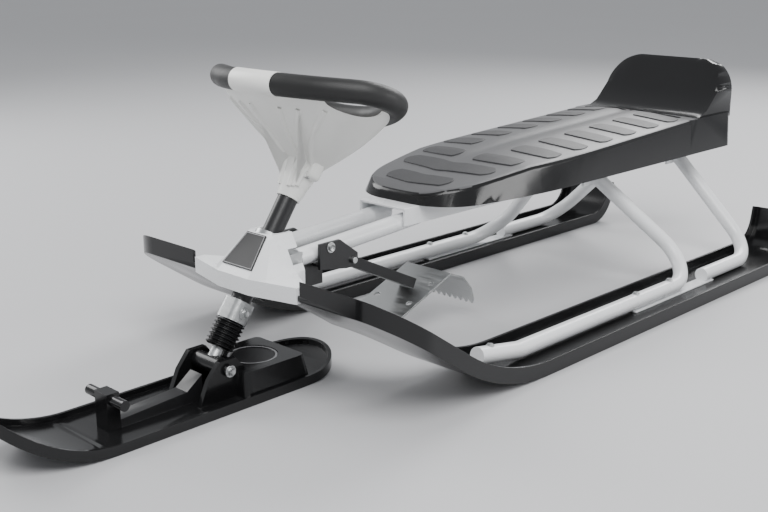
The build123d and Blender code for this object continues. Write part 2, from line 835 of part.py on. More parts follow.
ski_outline = ski_plan(0)
ski_hollow = ski_plan(4)
ski_deck_side = ski_side(ski_thickness)
ski_rim_side = ski_side(ski_rim_height)
box_levels = [box_level(ski_thickness - 1, tail_box_flare), box_level(tail_box_top_z, 0)]
with BuildPart() as ski_deck:
    extrude(ski_outline, amount=200, dir=(0, 0, 1))
    extrude(ski_deck_side, amount=ski_half_width + 5, both=True, mode=Mode.INTERSECT)
with BuildPart() as ski:
    extrude(ski_outline, amount=200, dir=(0, 0, 1))
    extrude(ski_hollow, amount=200, dir=(0, 0, 1), mode=Mode.SUBTRACT)
    extrude(ski_rim_side, amount=ski_half_width + 5, both=True, mode=Mode.INTERSECT)
    add(ski_deck.part)
    loft(box_levels, ruled=True)
    with Locations((0, recess_y, tail_box_top_z)):
        Cylinder(recess_d / 2, recess_depth, align=(Align.CENTER, Align.CENTER, Align.MAX), mode=Mode.SUBTRACT)
    with BuildSketch(Plane.YZ.offset(-tower_half_gap - tower_wall)):
        with BuildLine():
            Polyline(
                (pin_y - 42, ski_thickness - 1),
                (pin_y + 30, ski_thickness - 1),
                (pin_y + 26, tail_box_top_z),
                (pin_y + 12, pin_z + 13),
                (pin_y - 12, pin_z + 13),
                (pin_y - 28, pin_z - 6),
                close=True,
            )
        make_face()
    extrude(amount=2 * (tower_half_gap + tower_wall))
    with Locations((0, pin_y - 14, ski_thickness)):
        Box(2 * tower_half_gap, 64, 80, align=(Align.CENTER, Align.CENTER, Align.MIN), mode=Mode.SUBTRACT)
    with BuildSketch(Plane.YZ.offset(-spine_half_width)):
        with BuildLine():
            Polyline(
                (tow_y - 8, ski_thickness - 1),
                (pin_y - 22, ski_thickness - 1),
                (pin_y - 22, pin_z - 4),
                (pin_y - 44, pin_z - 20),
                (tow_y - 4, ski_thickness + 9),
                close=True,
            )
        make_face()
    extrude(amount=2 * spine_half_width)
    with Locations((0, tow_y, ski_thickness)):
        Box(2 * spine_half_width + 4, tow_post_depth, 40, align=(Align.CENTER, Align.CENTER, Align.MIN), mode=Mode.SUBTRACT)
    with BuildSketch(Plane.YZ.offset(-ski_half_width)):
        with Locations((pin_y, pin_z)):
            Circle(pin_d / 2)
    extrude(amount=2 * ski_half_width, mode=Mode.SUBTRACT)
save(ski.part, "ski")

# Tow bracket near the tip: a post with a cross bar
with BuildPart() as tow_bracket:
    with Locations((0, tow_y, ski_thickness)):
        post_height = tow_z + tow_post_depth / 2 - ski_thickness
        Box(tow_post_width, tow_post_depth, post_height, align=(Align.CENTER, Align.CENTER, Align.MIN))
    with BuildSketch(Plane.YZ.offset(-tow_bar_length / 2)):
        with Locations((tow_y, tow_z)):
            Circle(tow_bar_d / 2)
    extrude(amount=tow_bar_length)
save(tow_bracket.part, "tow_bracket")

# Brake bracket: a plate and housing under the main tubes, with an ear outside each tube
ear_outer = brake_ear_inner + brake_ear_wall
with BuildPart() as brake_bracket:
    with Locations((0, brake_plate_y, brake_plate_z)):
        Box(2 * ear_outer, 34, 3, align=(Align.CENTER, Align.CENTER, Align.MAX))
    with Locations((0, housing_front_y, brake_plate_z)):
        housing_length = housing_rear_y - housing_front_y
        housing_height = brake_plate_z - housing_low_z
        Box(2 * housing_half_width, housing_length, housing_height, align=(Align.CENTER, Align.MIN, Align.MAX))
    for side in (-1, 1):
        with BuildSketch(Plane.YZ.offset(side * (brake_ear_inner + brake_ear_wall / 2) - brake_ear_wall / 2)):
            with BuildLine():
                Polyline(
                    (brake_plate_y - 17, brake_ear_top_z),
                    (brake_plate_y + 17, brake_ear_top_z),
                    (brake_pin_y + 9, brake_pin_z + 8),
                    (brake_pin_y + 9, brake_pin_z - 9),
                    (brake_pin_y - 9, brake_pin_z - 9),
                    (brake_plate_y - 17, brake_plate_z - 6),
                    close=True,
                )
            make_face()
        extrude(amount=brake_ear_wall)
    with BuildSketch(Plane.YZ.offset(-60)):
        with Locations((brake_pin_y, brake_pin_z)):
            Circle(brake_pin_d / 2)
    extrude(amount=120, mode=Mode.SUBTRACT)
save(brake_bracket.part, "brake_bracket")

with BuildPart() as brake_pin:
    with BuildSketch(Plane.YZ.offset(-ear_outer - 5)):
        with Locations((brake_pin_y, brake_pin_z)):
            Circle(brake_pin_d / 2)
    extrude(amount=2 * (ear_outer + 5))
save(brake_pin.part, "brake_pin")

# Brake arm: a ribbed channel that swings back from the pin
arm_slope = Vector(0, arm_end_y - brake_pin_y, arm_end_z - brake_pin_z).normalized()
arm_length = math.hypot(arm_end_y - brake_pin_y, arm_end_z - brake_pin_z)
arm_plane = Plane(origin=(0, brake_pin_y, brake_pin_z), x_dir=arm_slope, z_dir=(1, 0, 0))
pocket_pitch = (arm_length - 14) / arm_pockets
with BuildPart() as brake_arm:
    with BuildSketch(arm_plane.offset(-brake_arm_half_width)):
        Rectangle(arm_length, arm_depth, align=(Align.MIN, Align.CENTER))
    extrude(amount=2 * brake_arm_half_width)
    with BuildSketch(arm_plane.offset(arm_wall - brake_arm_half_width)):
        for pocket in range(arm_pockets):
            with Locations((12 + pocket * pocket_pitch, arm_wall)):
                Rectangle(pocket_pitch - arm_wall, arm_depth, align=(Align.MIN, Align.CENTER))
    extrude(amount=2 * (brake_arm_half_width - arm_wall), mode=Mode.SUBTRACT)
    with BuildSketch(arm_plane.offset(-brake_arm_half_width)):
        Circle(brake_eye_d / 2)
    extrude(amount=2 * brake_arm_half_width)
    with BuildSketch(arm_plane.offset(-brake_arm_half_width)):
        Circle(brake_pin_d / 2 + column_gap)
    extrude(amount=2 * brake_arm_half_width, mode=Mode.SUBTRACT)
save(brake_arm.part, "brake_arm")

# Brake blade: a sloping foot plate with a toothed lip behind it
tooth_pitch = 2 * blade_half_width / tooth_count


def lip_line(inset):
    """The blade's rear part seen from the side, from its top edge to the tooth tips."""
    return [
        (blade_rear_y - 0.3 * inset, blade_rear_z - inset),
        (blade_rear_y + 0.50 * lip_run - 0.5 * inset, blade_rear_z - 0.19 * lip_drop - 0.8 * inset),
        (blade_rear_y + 0.82 * lip_run - 0.9 * inset, blade_rear_z - 0.54 * lip_drop - 0.5 * inset),
        (blade_rear_y + lip_run - inset, blade_rear_z - lip_drop),
    ]


with BuildPart() as brake_blade:
    with BuildSketch(Plane.YZ.offset(-blade_half_width)):
        with BuildLine():
            outside = [(blade_front_y, blade_front_z)] + lip_line(0)
            inside = [(blade_front_y, blade_front_z - blade_thickness)] + lip_line(blade_thickness)
            Polyline(*outside, *reversed(inside), close=True)
        make_face()
    extrude(amount=2 * blade_half_width)
    with BuildSketch(Plane.XZ.offset(-blade_rear_y - lip_run / 2)):
        for tooth in range(tooth_count + 1):
            with Locations((tooth * tooth_pitch - blade_half_width, blade_rear_z - lip_drop - 1)):
                Polygon((-tooth_pitch / 2, 0), (tooth_pitch / 2, 0), (0, tooth_depth), align=None)
    extrude(amount=-lip_run, mode=Mode.SUBTRACT)
    with BuildSketch(Plane.XY.offset(blade_rear_z + 5)):
        with Locations((0, (blade_front_y + blade_rear_y) / 2)):
            with GridLocations(60, 44, 2, 2):
                Circle(4)
    extrude(amount=-80, mode=Mode.SUBTRACT)
save(brake_blade.part, "brake_blade")
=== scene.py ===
"""Steerable snow sled: finishes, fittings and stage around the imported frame."""

import json
import math

import bmesh
import bpy
from mathutils import Matrix, Vector
from mathutils.bvhtree import BVHTree


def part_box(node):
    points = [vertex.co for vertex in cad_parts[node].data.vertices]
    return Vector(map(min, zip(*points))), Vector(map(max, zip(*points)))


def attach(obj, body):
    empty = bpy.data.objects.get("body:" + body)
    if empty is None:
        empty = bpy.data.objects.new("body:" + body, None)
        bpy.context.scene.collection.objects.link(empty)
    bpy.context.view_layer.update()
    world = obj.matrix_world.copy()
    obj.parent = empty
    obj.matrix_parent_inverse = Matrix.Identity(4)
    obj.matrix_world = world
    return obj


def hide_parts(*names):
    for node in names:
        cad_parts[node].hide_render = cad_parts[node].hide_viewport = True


bl_info = {
    "name": "Steerable Sled",
    "version": (1, 0, 0),
    "blender": (4, 5, 0),
    "location": "View3D > Sidebar > Sled",
    "description": "Finishes the packed sled and sets it on a lit floor",
    "category": "Object",
}

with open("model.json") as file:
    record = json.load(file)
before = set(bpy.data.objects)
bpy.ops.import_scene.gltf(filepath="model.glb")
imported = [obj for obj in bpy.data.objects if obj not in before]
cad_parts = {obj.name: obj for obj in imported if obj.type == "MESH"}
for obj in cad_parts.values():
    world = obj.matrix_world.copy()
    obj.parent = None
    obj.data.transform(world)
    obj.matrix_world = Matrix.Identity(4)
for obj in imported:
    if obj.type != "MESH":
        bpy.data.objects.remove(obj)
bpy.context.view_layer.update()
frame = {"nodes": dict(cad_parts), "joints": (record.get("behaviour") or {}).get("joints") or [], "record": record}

BODY_OF = {node: body for body, nodes in frame["record"]["behaviour"]["bodies"].items() for node in nodes}
SLOT_OF = {entry["node"]: entry["material_slot"] for entry in frame["record"]["subparts"]}
STEERING_AXIS = Vector(next(joint["axis"] for joint in frame["joints"] if joint["name"] == "steering"))

SIDES = ((1.0, "left"), (-1.0, "right"))
DOWN = (0.0, 0.0, -1.0)
WHITE_STEEL = (
    "front_leg_left",
    "front_leg_right",
    "rear_leg_left",
    "rear_leg_right",
    "main_tube_left",
    "main_tube_right",
    "seat_rail",
    "head_shell",
)

# Finishes. Moulded ones: lowest and highest roughness, grain scale, grain depth, specular level

MOULDED = {
    "black_plastic": (0.14, 0.22, 900.0, 0.00002, 0.4),
    # Painted light: the seat top's black plastic, painted lighter grey where it faces the lights
    "seat_skin": (0.34, 0.42, 800.0, 0.0001, 0.5),
    "pad_skin": (0.45, 0.55, 700.0, 0.0002, 0.5),
    "badge_line": (0.3, 0.4, 700.0, 0.00005, 0.5),
    "white_plastic": (0.3, 0.42, 700.0, 0.00005, 0.5),
    "black_paint": (0.28, 0.4, 500.0, 0.0001, 0.5),
    "badge": (0.3, 0.4, 500.0, 0.00005, 0.25),
}
COLOUR_SETTINGS = {
    "black_plastic": "plastic_colour",
    "white_paint": "coat_colour",
    "white_plastic": "hub_colour",
    "grip_black": "grip_colour",
    "zinc": "zinc_colour",
}
PATTERN_LOW, PATTERN_HIGH = 0.3, 0.7
FIXED_COLOURS = {
    # Painted light: the seat top's black plastic, painted lighter grey
    "seat_skin": (0.085, 0.085, 0.088),
    "pad_skin": (0.028, 0.028, 0.03),
    "badge_line": (0.3, 0.3, 0.31),
    "black_paint": (0.012, 0.012, 0.013),
    "badge": (0.01, 0.01, 0.011),
}

# Working tolerances in metres, angles in degrees

MERGE_DISTANCE = 0.000002
CUT_SNAP = 0.00001
FLAT_ANGLE = 0.4
NODE_ANGLE = 32.0
EDGE_ANGLE = 35.0
PAD_ANGLE = 40.0
SOFT_ANGLE = 50.0
LUG_ANGLE = 60.0

# Roundings of the small edges

FINE_EDGE = 0.0004
PLATE_EDGE = 0.0003
ROD_EDGE = 0.0006
PAD_EDGE = 0.0007

# Seat: the top line as (y, z) places, then the crown, groove, rounded shoulder and cuts

SEAT_TOP = ((-0.086, 0.197), (-0.062, 0.205), (0.074, 0.221), (0.5, 0.24), (0.628, 0.24))
SEAT_HALF_WIDTH = 0.111
SEAT_CROWN = 0.0105
CROWN_START, CROWN_RUN_IN = -0.06, 0.22
CROWN_END, CROWN_RUN_OUT = 0.52, 0.05
LIFT_START, LIFT_HEIGHT, LIFT_MARGIN = 0.19, 0.012, 0.002
SEAT_GROOVE = 0.0025
GROOVE_HALF_WIDTH = 0.013
SEAT_SHOULDER = 0.007
SHOULDER_END = 0.484
SHOULDER_LEVEL = 0.0012
SHOULDER_LEAST_ANGLE = 0.6
# The seat top's upward faces in front of this are painted lighter grey as painted light
PAINTED_LIGHT_END = 0.51
PAINTED_LIGHT_LEVEL = 0.0015
PAINTED_LIGHT_LEAST_UP = 0.8
BACKREST_CUTS = (0.468, 0.486)
CUT_OFFSETS = (0.008, 0.016, 0.03, 0.048, 0.066, 0.084, 0.098)
CUTS_ACROSS = [side * x for x in CUT_OFFSETS for side, _ in SIDES] + [0.0]
CUTS_ALONG = [-0.06 + 0.03 * step for step in range(20)]

# Tread pads: middle x and y, half width, half length; the last pair are plain black bars before the backrest,
# painted shade for the recess there

NOSE_PADS = [(0.0, -0.043, 0.054, 0.018), (0.0, 0.014, 0.079, 0.019)]
PAIRED_PADS = [(0.050, 0.070, 0.035, 0.018)]
PAIRED_PADS += [(0.0665, y, 0.0335, 0.0195) for y in (0.135, 0.2, 0.265, 0.33, 0.395, 0.455)]
# Plain black bars before the backrest, painted shade for the recess there
PAIRED_PADS += [(0.048, 0.484, 0.044, 0.006)]
SHADE_BARS_START = 0.47
PAD_SWEEP = 0.12
PAD_ROUNDNESS = 0.22
PAD_RISE, PAD_TILT = 0.0012, 0.0005
PAD_DEPTH = 0.004

# Screws and bolts, as shares of the head's radius and height

WASHER_FOOT, WASHER_TOP, WASHER_DEPTH, WASHER_MIDDLE = 1.35, 1.3, 0.3, 0.15
HEAD_TOP, HEAD_DEPTH, HEAD_MIDDLE = 0.9, 0.8, 0.65
RECESS_MARGIN, RECESS_DEPTH = 0.42, 0.35
HEAD_EDGE = 0.08

# Fittings. Bolt pairs: name, body, place on the left side, radius, height

FORK_BOLTS = ("fork_bolt", "steering", (0.0171, -0.361, 0.096), 0.0055, 0.004)
PIVOT_BOLTS = ("pivot_bolt", "ski", (0.0361, -0.399, 0.040), 0.0055, 0.004)
EAR_BOLTS = ("ear_bolt", "sled", (0.0436, -0.245, 0.159), 0.005, 0.0035)
STRAP_SCREW_X = 0.198
STRAP_SCREW_ROWS = (-0.125, 0.208, 0.3)
STRAP_SCREW_ABOVE = 0.06
STRAP_SCREW_RADIUS, STRAP_SCREW_HEIGHT = 0.004, 0.0026
BADGE_MARGIN, BADGE_LINE, BADGE_STEP, BADGE_SINK = 0.0016, 0.0011, 0.0004, 0.0003
ROD_FOOT = 0.0225
MARKER_HALF_WIDTH = 0.036
MARKER_LIFT = 0.0005
PINCH_LUG_SIZE = (0.026, 0.020, 0.026)
PINCH_LUG_PLACE = (0.016, -0.250, 0.252)
PINCH_LUG_ROUNDING = 0.006
PINCH_SCREW_PLACE = (0.0215, -0.2602, 0.2485)
PINCH_SCREW_AIM = (0.35, -1.0, 0.25)
PINCH_SCREW_RADIUS, PINCH_SCREW_HEIGHT = 0.0042, 0.003
SPINE_HALF_WIDTH, SPINE_FRONT, SPINE_LOW = 0.0115, -0.52, 0.008
PLATE_ABOVE = (0.0, -0.337, 0.2)
PLATE_RADIUS, PLATE_THICKNESS = 0.0305, 0.0012
PLATE_RING, PLATE_STEP = 0.0028, 0.0009

# Hub folds: the foot and head of each, as distances from the middle

HUB_FOLDS = ((0.008, 0.026), (0.012, 0.052), (0.015, 0.084))
FOLD_FOOT, FOLD_HEIGHT = 0.236, 0.098
FOLD_WIDTH, FOLD_RISE = 0.008, 0.004
FOLD_STEPS = 16
FOLD_FLARE = 1.6
FOLD_RAY_START = -0.5
BEAD_SINK, BEAD_FOOT = 0.25, 0.3

# Lights: name, place, target, size, share of the key light's power

LAMPS = (
    ("key_light", (1.2, -1.0, 2.2), (0.0, 0.0, 0.15), 1.8, 1.0),
    ("side_light", (-2.2, -0.6, 1.3), (0.0, 0.0, 0.2), 1.5, 0.55),
    ("back_light", (-0.6, 2.4, 1.8), (0.0, 0.1, 0.2), 1.6, 0.9),
    ("low_light", (1.9, 1.2, 0.7), (0.0, 0.2, 0.15), 0.9, 0.25),
)
SKY_COLOUR = (0.9, 0.92, 0.95, 1.0)
SKY_STRENGTH = 0.62
FLOOR_RADIUS = 14.0


class SledFinishSettings(bpy.types.PropertyGroup):
    """Colours and surface qualities of the sled's finishes."""

    plastic_colour: bpy.props.FloatVectorProperty(
        name="Black plastic",
        description="Colour of the runners, ski and seat",
        subtype="COLOR",
        size=3,
        min=0.0,
        max=1.0,
        default=(0.0075, 0.0075, 0.008),
    )
    coat_colour: bpy.props.FloatVectorProperty(
        name="White coating",
        description="Colour of the coated steel tubes and the head",
        subtype="COLOR",
        size=3,
        min=0.0,
        max=1.0,
        default=(0.86, 0.87, 0.88),
    )
    hub_colour: bpy.props.FloatVectorProperty(
        name="White plastic",
        description="Colour of the steering wheel's hub",
        subtype="COLOR",
        size=3,
        min=0.0,
        max=1.0,
        default=(0.88, 0.88, 0.85),
    )
    grip_colour: bpy.props.FloatVectorProperty(
        name="Grip",
        description="Colour of the wheel's soft rim",
        subtype="COLOR",
        size=3,
        min=0.0,
        max=1.0,
        default=(0.012, 0.012, 0.012),
    )
    zinc_colour: bpy.props.FloatVectorProperty(
        name="Plated steel",
        description="Colour of the fork bracket, pins and blade",
        subtype="COLOR",
        size=3,
        min=0.0,
        max=1.0,
        default=(0.52, 0.53, 0.53),
    )
    edge_radius: bpy.props.FloatProperty(
        name="Edge radius",
        description="Rounding on the edges of moulded and folded pieces",
        subtype="DISTANCE",
        unit="LENGTH",
        min=0.0,
        default=0.0008,
    )


class SledStageSettings(bpy.types.PropertyGroup):
    """Floor, lights and camera."""

    floor_colour: bpy.props.FloatVectorProperty(
        name="Floor",
        description="Colour of the flat floor",
        subtype="COLOR",
        size=3,
        min=0.0,
        max=1.0,
        default=(0.54, 0.54, 0.55),
    )
    lens: bpy.props.FloatProperty(
        name="Lens",
        description="Focal length of the camera on a 36 mm sensor",
        subtype="DISTANCE_CAMERA",
        min=10.0,
        default=52.18,
    )
    camera_place: bpy.props.FloatVectorProperty(
        name="Camera place",
        description="Where the camera stands",
        subtype="TRANSLATION",
        unit="LENGTH",
        size=3,
        default=(0.996, -1.1375, 0.516),
    )
    camera_azimuth: bpy.props.FloatProperty(
        name="Camera azimuth",
        description="Turn of the camera about the vertical, in degrees from straight in front of the ski",
        default=44.03,
    )
    camera_elevation: bpy.props.FloatProperty(
        name="Camera elevation",
        description="How far the camera looks down, in degrees",
        default=15.75,
    )
    key_power: bpy.props.FloatProperty(
        name="Key light",
        description="Power of the large soft light over the sled",
        unit="POWER",
        min=0.0,
        default=62.0,
    )


# Materials


def new_material(name):
    """An empty node material with its Principled shader and output."""
    material = bpy.data.materials.new(name)
    material.use_nodes = True
    tree = material.node_tree
    tree.nodes.clear()
    output = tree.nodes.new("ShaderNodeOutputMaterial")
    shader = tree.nodes.new("ShaderNodeBsdfPrincipled")
    tree.links.new(shader.outputs["BSDF"], output.inputs["Surface"])
    return material, tree, shader


def object_pattern(tree, kind, scale, detail=3.0, stretch=(1.0, 1.0, 1.0)):
    """A noise or cell pattern in the object's own coordinates."""
    coordinates = tree.nodes.new("ShaderNodeTexCoord")
    mapping = tree.nodes.new("ShaderNodeMapping")
    mapping.inputs["Scale"].default_value = stretch
    pattern = tree.nodes.new(kind)
    pattern.inputs["Scale"].default_value = scale
    if kind == "ShaderNodeTexNoise":
        pattern.inputs["Detail"].default_value = detail
    tree.links.new(coordinates.outputs["Object"], mapping.inputs["Vector"])
    tree.links.new(mapping.outputs["Vector"], pattern.inputs["Vector"])
    return pattern


def spread(tree, source, low, high):
    """The pattern's value carried to the range low to high."""
    ranged = tree.nodes.new("ShaderNodeMapRange")
    ranged.inputs["From Min"].default_value = PATTERN_LOW
    ranged.inputs["From Max"].default_value = PATTERN_HIGH
    ranged.inputs["To Min"].default_value = low
    ranged.inputs["To Max"].default_value = high
    tree.links.new(source, ranged.inputs["Value"])
    return ranged.outputs["Result"]


def tint(tree, source, colour, change):
    """The colour made a little darker and lighter by a pattern."""
    mix = tree.nodes.new("ShaderNodeMix")
    mix.data_type = "RGBA"
    mix.inputs["A"].default_value = [channel * (1.0 - change) for channel in colour] + [1.0]
    mix.inputs["B"].default_value = [min(1.0, channel * (1.0 + change)) for channel in colour] + [1.0]
    tree.links.new(source, mix.inputs["Factor"])
    return mix.outputs["Result"]


def bump(tree, shader, source, distance, strength=1.0):
    """A bump on the shader's normal."""
    node = tree.nodes.new("ShaderNodeBump")
    node.inputs["Distance"].default_value = distance
    node.inputs["Strength"].default_value = strength
    tree.links.new(source, node.inputs["Height"])
    tree.links.new(node.outputs["Normal"], shader.inputs["Normal"])


def moulded_plastic(name, colour, low_rough, high_rough, grain, depth, shine):
    """Moulded plastic: faint flow marks, uneven gloss and a fine grain."""
    material, tree, shader = new_material(name)
    flow = object_pattern(tree, "ShaderNodeTexNoise", scale=9.0, detail=4.0, stretch=(1.0, 0.35, 1.0))
    tree.links.new(tint(tree, flow.outputs["Fac"], colour, change=0.12), shader.inputs["Base Color"])
    wear = object_pattern(tree, "ShaderNodeTexNoise", scale=16.0, detail=3.0)
    rough = spread(tree, wear.outputs["Fac"], low_rough, high_rough)
    tree.links.new(rough, shader.inputs["Roughness"])
    fine = object_pattern(tree, "ShaderNodeTexNoise", scale=grain, detail=2.0)
    bump(tree, shader, fine.outputs["Fac"], distance=depth)
    shader.inputs["IOR"].default_value = 1.5
    shader.inputs["Specular IOR Level"].default_value = shine
    return material


def coated_steel(name, colour):
    """Powder-coated steel: a soft orange-peel skin with slightly uneven gloss."""
    material, tree, shader = new_material(name)
    cloud = object_pattern(tree, "ShaderNodeTexNoise", scale=14.0, detail=3.0)
    tree.links.new(tint(tree, cloud.outputs["Fac"], colour, change=0.03), shader.inputs["Base Color"])
    tree.links.new(spread(tree, cloud.outputs["Fac"], low=0.24, high=0.36), shader.inputs["Roughness"])
    peel = object_pattern(tree, "ShaderNodeTexNoise", scale=420.0, detail=1.0)
    bump(tree, shader, peel.outputs["Fac"], distance=0.00025)
    shader.inputs["Coat Weight"].default_value = 0.25
    shader.inputs["Coat Roughness"].default_value = 0.12
    return material


def plated_steel(name, colour):
    """Zinc-plated steel: brushed along and clouded."""
    material, tree, shader = new_material(name)
    cloud = object_pattern(tree, "ShaderNodeTexNoise", scale=30.0, detail=5.0)
    tree.links.new(tint(tree, cloud.outputs["Fac"], colour, change=0.12), shader.inputs["Base Color"])
    brush = object_pattern(tree, "ShaderNodeTexNoise", scale=300.0, detail=4.0, stretch=(0.12, 1.0, 1.0))
    tree.links.new(spread(tree, brush.outputs["Fac"], low=0.28, high=0.45), shader.inputs["Roughness"])
    bump(tree, shader, brush.outputs["Fac"], distance=0.00012)
    shader.inputs["Metallic"].default_value = 1.0
    return material


def soft_grip(name, colour):
    """Foamed rim grip: fine cells and a dull sheen."""
    material, tree, shader = new_material(name)
    cells = object_pattern(tree, "ShaderNodeTexVoronoi", scale=900.0)
    cloud = object_pattern(tree, "ShaderNodeTexNoise", scale=45.0, detail=3.0)
    tree.links.new(tint(tree, cloud.outputs["Fac"], colour, change=0.2), shader.inputs["Base Color"])
    tree.links.new(spread(tree, cloud.outputs["Fac"], low=0.42, high=0.58), shader.inputs["Roughness"])
    bump(tree, shader, cells.outputs["Distance"], distance=0.0002, strength=0.6)
    return material


def finish_for(slot):
    """The material of a record slot, or of a coloured area of a piece, made once."""
    name = "sled_" + slot
    made = bpy.data.materials.get(name)
    if made:
        return made
    if slot in COLOUR_SETTINGS:
        colour = tuple(getattr(bpy.context.scene.sled_finish, COLOUR_SETTINGS[slot]))
    else:
        colour = FIXED_COLOURS[slot]
    if slot in MOULDED:
        return moulded_plastic(name, colour, *MOULDED[slot])
    makers = {"white_paint": coated_steel, "grip_black": soft_grip, "zinc": plated_steel}
    return makers[slot](name, colour)


# Pieces


def add_piece(name, mesh, body, slot, replaced=(), finishes=()):
    """Puts a finished mesh in the scene, rides it on its body and gives it its finishes."""
    piece = bpy.data.objects.new(name, mesh)
    bpy.context.scene.collection.objects.link(piece)
    for finish in finishes or (slot,):
        mesh.materials.append(finish_for(finish))
    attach(piece, body)
    if replaced:
        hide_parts(*replaced)
    return piece


def add_shape(name, shape, body, slot, degrees=EDGE_ANGLE, replaced=(), finishes=()):
    """Makes a bmesh into a smoothly shaded piece."""
    mesh = bpy.data.meshes.new(name)
    shape.to_mesh(mesh)
    shape.free()
    smooth_by_angle(mesh, degrees)
    return add_piece(name, mesh, body, slot, replaced, finishes)


def smooth_by_angle(mesh, degrees):
    """Smooth faces with sharp edges where they meet at more than the angle."""
    mesh.shade_smooth()
    mesh.set_sharp_from_angle(angle=math.radians(degrees))


def round_edges(piece, width, degrees=EDGE_ANGLE):
    """A bevel on the edges that meet at more than the angle."""
    rounding = piece.modifiers.new("Rounded edges", "BEVEL")
    rounding.width = width
    rounding.segments = 2
    rounding.limit_method = "ANGLE"
    rounding.angle_limit = math.radians(degrees)
    rounding.harden_normals = True


def edge_radius():
    """The rounding of moulded and folded pieces."""
    return bpy.context.scene.sled_finish.edge_radius


def cut_through(shape, place, normal, clear_outer=False):
    """Cuts a shape along a plane, and drops what lies beyond it where that is asked."""
    bmesh.ops.bisect_plane(
        shape,
        geom=list(shape.verts) + list(shape.edges) + list(shape.faces),
        dist=CUT_SNAP,
        plane_co=place,
        plane_no=normal,
        clear_outer=clear_outer,
    )


def open_edges(shape):
    """The edges round a shape's open sides."""
    return [edge for edge in shape.edges if edge.is_boundary]


def add_skirt(shape):
    """Extrudes a sheet's open edges and gives the new vertices, still in place."""
    made = bmesh.ops.extrude_edge_only(shape, edges=open_edges(shape))
    return [item for item in made["geom"] if isinstance(item, bmesh.types.BMVert)]


def close_up(shape):
    """Fills a shape's open sides and turns its faces outwards."""
    bmesh.ops.holes_fill(shape, edges=open_edges(shape), sides=0)
    bmesh.ops.recalc_face_normals(shape, faces=shape.faces)


def merged_copy(node):
    """A bmesh of a frame node with its doubles merged and its flat faces joined."""
    shape = bmesh.new()
    shape.from_mesh(frame["nodes"][node].data)
    bmesh.ops.remove_doubles(shape, verts=shape.verts, dist=MERGE_DISTANCE)
    bmesh.ops.dissolve_limit(
        shape,
        angle_limit=math.radians(FLAT_ANGLE),
        use_dissolve_boundaries=False,
        verts=shape.verts,
        edges=shape.edges,
    )
    for face in shape.faces:
        face.material_index = 0
    return shape


def replace_node(node, shape, finishes=()):
    """Puts a reworked copy of a frame node in the node's place."""
    return add_shape(node + "_finished", shape, BODY_OF[node], SLOT_OF[node], NODE_ANGLE, (node,), finishes)


def finish_node(node):
    """A merged, smoothly shaded copy of a frame node, its sharp edges rounded, in place of the node."""
    round_edges(replace_node(node, merged_copy(node)), edge_radius())


def node_surface(node):
    """A frame node's surface, for seating fittings on it."""
    shape = bmesh.new()
    shape.from_mesh(frame["nodes"][node].data)
    surface = BVHTree.FromBMesh(shape)
    shape.free()
    return surface


def touch(surface, start, aim):
    """The point and outward normal where a line from start along aim meets the surface."""
    place, normal, _, _ = surface.ray_cast(Vector(start), Vector(aim).normalized())
    if place is None:
        raise RuntimeError("a fitting has nothing to sit on")
    if normal.dot(Vector(aim)) > 0.0:
        normal = -normal
    return place, normal


def facing(place, normal):
    """The transform that stands a shape's Z along the normal at the place."""
    return Matrix.Translation(place) @ normal.to_track_quat("Z", "Y").to_matrix().to_4x4()


def screw(name, body, place, normal, radius, height, sides=32):
    """A screw head with a washer and a recess in its crown, or a bolt head when it has six sides."""
    shape = bmesh.new()
    washer = bmesh.ops.create_cone(
        shape,
        cap_ends=True,
        segments=32,
        radius1=radius * WASHER_FOOT,
        radius2=radius * WASHER_TOP,
        depth=height * WASHER_DEPTH,
    )
    bmesh.ops.translate(shape, verts=washer["verts"], vec=(0.0, 0.0, height * WASHER_MIDDLE))
    head = bmesh.ops.create_cone(
        shape,
        cap_ends=True,
        segments=sides,
        radius1=radius,
        radius2=radius * HEAD_TOP,
        depth=height * HEAD_DEPTH,
    )
    bmesh.ops.translate(shape, verts=head["verts"], vec=(0.0, 0.0, height * HEAD_MIDDLE))
    top = max(shape.faces, key=lambda face: face.calc_center_median().z)
    bmesh.ops.inset_region(shape, faces=[top], thickness=radius * RECESS_MARGIN, depth=0.0)
    # On the strap screws a rounding in the height picks a face of the ring, so their recess is one notch
    recess = max(shape.faces, key=lambda face: (face.calc_center_median().z, -face.calc_area()))
    bmesh.ops.translate(shape, verts=recess.verts, vec=(0.0, 0.0, -height * RECESS_DEPTH))
    shape.transform(facing(place, normal))
    round_edges(add_shape(name, shape, body, "zinc"), height * HEAD_EDGE)


def bolt_pair(name, body, place, radius, height):
    """A bolt head on each side of the sled, facing outwards."""
    for side, word in SIDES:
        spot = Vector((side * place[0], place[1], place[2]))
        screw(name + "_" + word, body, spot, Vector((side, 0.0, 0.0)), radius, height, sides=6)


def rounded_block(name, body, slot, size, place, aim, radius):
    """A block with rounded edges, its Z along aim."""
    shape = bmesh.new()
    bmesh.ops.create_cube(shape, size=1.0)
    bmesh.ops.scale(shape, verts=shape.verts, vec=size)
    bmesh.ops.bevel(
        shape,
        geom=list(shape.edges),
        offset=radius,
        offset_type="OFFSET",
        segments=4,
        profile=0.5,
        affect="EDGES",
        material=-1,
    )
    shape.transform(facing(Vector(place), Vector(aim)))
    add_shape(name, shape, body, slot, LUG_ANGLE)


